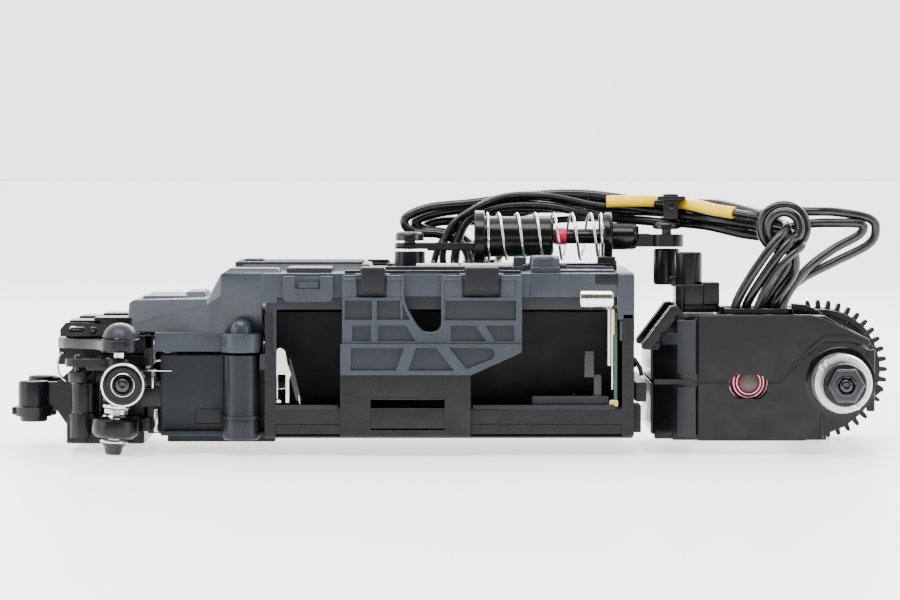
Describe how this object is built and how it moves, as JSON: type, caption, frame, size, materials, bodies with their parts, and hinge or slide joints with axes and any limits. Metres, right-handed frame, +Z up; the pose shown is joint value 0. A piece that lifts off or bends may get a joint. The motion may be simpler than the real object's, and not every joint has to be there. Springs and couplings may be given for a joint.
{
  "type": "radio control car chassis",
  "caption": "Small radio-control car chassis: battery tub with hinged clips, steering front end, pivoting motor pod with spur gear, coil-over damper and looped leads.",
  "frame": {"origin": "under the middle of the object's box, at the height of the kingpin tips", "axes": "+X to the rear of the car, -Y to its left side, +Z up"},
  "size_m": [0.125, 0.06, 0.0365],
  "materials": {
    "black_plastic": "moulded satin",
    "grey_plastic": "moulded satin",
    "pod_plastic": "moulded satin",
    "steel": "turned and plated",
    "nickel": "bright plated sheet",
    "white_plastic": "moulded satin",
    "red_plastic": "moulded gloss",
    "board": "solder mask",
    "wire": "smooth insulation"
  },
  "bodies": {
    "chassis": {"main_frame": "black_plastic", "top_cover": "grey_plastic", "suspension_upper_plate": "black_plastic", "lower_arm_plate": "black_plastic", "servo_case": "black_plastic", "servo_motor": "steel", "kingpin_left": "steel", "kingpin_right": "steel", "front_bumper": "black_plastic", "receiver_board": "board", "connector_front": "white_plastic", "connector_rear": "white_plastic", "terminal_board_left": "board", "terminal_board_right": "board", "front_contact_left": "nickel", "front_contact_right": "nickel", "rear_contact_left": "nickel", "rear_contact_right": "nickel", "damper_front_post": "black_plastic", "damper_front_screw": "steel", "clip_hinge_left": "black_plastic", "clip_hinge_right": "black_plastic", "wires_front_run": "wire", "kingpin_spring_left": "steel", "kingpin_spring_right": "steel"},
    "power_switch": {"power_switch": "black_plastic"},
    "battery_clip_left": {"battery_clip_left": "grey_plastic"},
    "battery_clip_right": {"battery_clip_right": "grey_plastic"},
    "suspension_left": {"spring_seat_left": "steel"},
    "suspension_right": {"spring_seat_right": "steel"},
    "knuckle_left": {"knuckle_left": "black_plastic"},
    "knuckle_right": {"knuckle_right": "black_plastic"},
    "front_hub_left": {"front_bearing_left": "steel"},
    "front_hub_right": {"front_bearing_right": "steel"},
    "tie_rod": {"tie_rod": "grey_plastic"},
    "servo_saver": {"servo_saver": "black_plastic"},
    "pod_link": {"pod_pivot_link": "grey_plastic"},
    "pod": {"pod_lower_case": "pod_plastic", "pod_upper_case": "pod_plastic", "motor_can": "steel", "motor_end_bell": "red_plastic", "axle_holder_left": "steel", "axle_holder_right": "steel", "damper_rear_post": "black_plastic", "damper_rear_screw": "steel", "cable_clip": "black_plastic", "wires_pod_rise": "wire", "wire_knot": "wire", "wires_rear_run": "wire"},
    "rear_axle": {"rear_axle": "steel", "spur_gear": "black_plastic", "wheel_hub_left": "black_plastic", "wheel_hub_right": "black_plastic", "wheel_hex_left": "steel", "wheel_hex_right": "steel"},
    "rotor": {"motor_shaft": "steel", "pinion": "steel"},
    "damper_body": {"damper_body": "black_plastic", "damper_spring": "steel"},
    "damper_rod": {"damper_rod": "black_plastic"}
  },
  "joints": [
    {"name": "power_switch_slide", "type": "slide", "parent": "chassis", "child": "power_switch", "axis": [1, 0, 0], "range_m": [0, 0.003]},
    {"name": "battery_clip_left_hinge", "type": "hinge", "parent": "chassis", "child": "battery_clip_left", "pos_m": [0, -0.0236, 0.0246], "axis": [-1, 0, 0], "range_deg": [0, 80]},
    {"name": "battery_clip_right_hinge", "type": "hinge", "parent": "chassis", "child": "battery_clip_right", "pos_m": [0, 0.0236, 0.0246], "axis": [1, 0, 0], "range_deg": [0, 80]},
    {"name": "suspension_left_slide", "type": "slide", "parent": "chassis", "child": "suspension_left", "axis": [0.0692, 0, 0.9976], "range_m": [-0.0006, 0.0006], "stiffness_N_per_m": 300, "deforming": ["kingpin_spring_left"]},
    {"name": "steer_left", "type": "hinge", "parent": "suspension_left", "child": "knuckle_left", "pos_m": [-0.04672, -0.021, 0.0099], "axis": [0.0692, 0, 0.9976], "range_deg": [-20, 20]},
    {"name": "front_wheel_left_spin", "type": "hinge", "parent": "knuckle_left", "child": "front_hub_left", "pos_m": [-0.0456, -0.026, 0.0099], "axis": [0, 1, 0], "continuous": true},
    {"name": "suspension_right_slide", "type": "slide", "parent": "chassis", "child": "suspension_right", "axis": [0.0692, 0, 0.9976], "range_m": [-0.0006, 0.0006], "stiffness_N_per_m": 300, "deforming": ["kingpin_spring_right"]},
    {"name": "steer_right", "type": "hinge", "parent": "suspension_right", "child": "knuckle_right", "pos_m": [-0.04672, 0.021, 0.0099], "axis": [0.0692, 0, 0.9976], "range_deg": [-20, 20]},
    {"name": "front_wheel_right_spin", "type": "hinge", "parent": "knuckle_right", "child": "front_hub_right", "pos_m": [-0.0456, 0.026, 0.0099], "axis": [0, 1, 0], "continuous": true},
    {"name": "tie_rod_slide", "type": "slide", "parent": "chassis", "child": "tie_rod", "axis": [0, 1, 0], "range_m": [-0.0019, 0.0019]},
    {"name": "servo_saver_swing", "type": "hinge", "parent": "chassis", "child": "servo_saver", "pos_m": [-0.052, 0, 0.006], "axis": [1, 0, 0], "range_deg": [-25, 25]},
    {"name": "pod_pitch", "type": "hinge", "parent": "chassis", "child": "pod_link", "pos_m": [0.02515, 0, 0.0084], "axis": [0, 1, 0], "range_deg": [-3, 4], "stiffness_Nm_per_rad": 0.6, "deforming": ["wires_front_run"]},
    {"name": "pod_roll", "type": "hinge", "parent": "pod_link", "child": "pod", "pos_m": [0.02515, 0, 0.0084], "axis": [1, 0, 0], "range_deg": [-3, 3], "stiffness_Nm_per_rad": 0.3, "deforming": ["wires_front_run"]},
    {"name": "rear_axle_spin", "type": "hinge", "parent": "pod", "child": "rear_axle", "pos_m": [0.0524, 0, 0.0099], "axis": [0, 1, 0], "continuous": true},
    {"name": "motor_spin", "type": "hinge", "parent": "pod", "child": "rotor", "pos_m": [0.03992, 0, 0.0099], "axis": [0, 1, 0], "continuous": true},
    {"name": "damper_swing", "type": "hinge", "parent": "chassis", "child": "damper_body", "pos_m": [-0.0069, 0, 0.0296], "axis": [0, 0, 1], "range_deg": [-2, 2]},
    {"name": "damper_slide", "type": "slide", "parent": "damper_body", "child": "damper_rod", "axis": [1, 0, 0], "range_m": [-0.0011, 0.0015], "deforming": ["damper_spring"]}
  ],
  "couplings": [
    {"joint": "steer_left", "follows": "tie_rod_slide", "rad_per_m": -176.99},
    {"joint": "steer_right", "follows": "tie_rod_slide", "rad_per_m": -176.99},
    {"joint": "servo_saver_swing", "follows": "tie_rod_slide", "rad_per_m": -210.62},
    {"joint": "motor_spin", "follows": "rear_axle_spin", "ratio": -3.3333},
    {"joint": "damper_swing", "follows": "pod_roll", "ratio": -0.575},
    {"joint": "damper_slide", "follows": "pod_pitch", "m_per_rad": 0.0209}
  ]
}
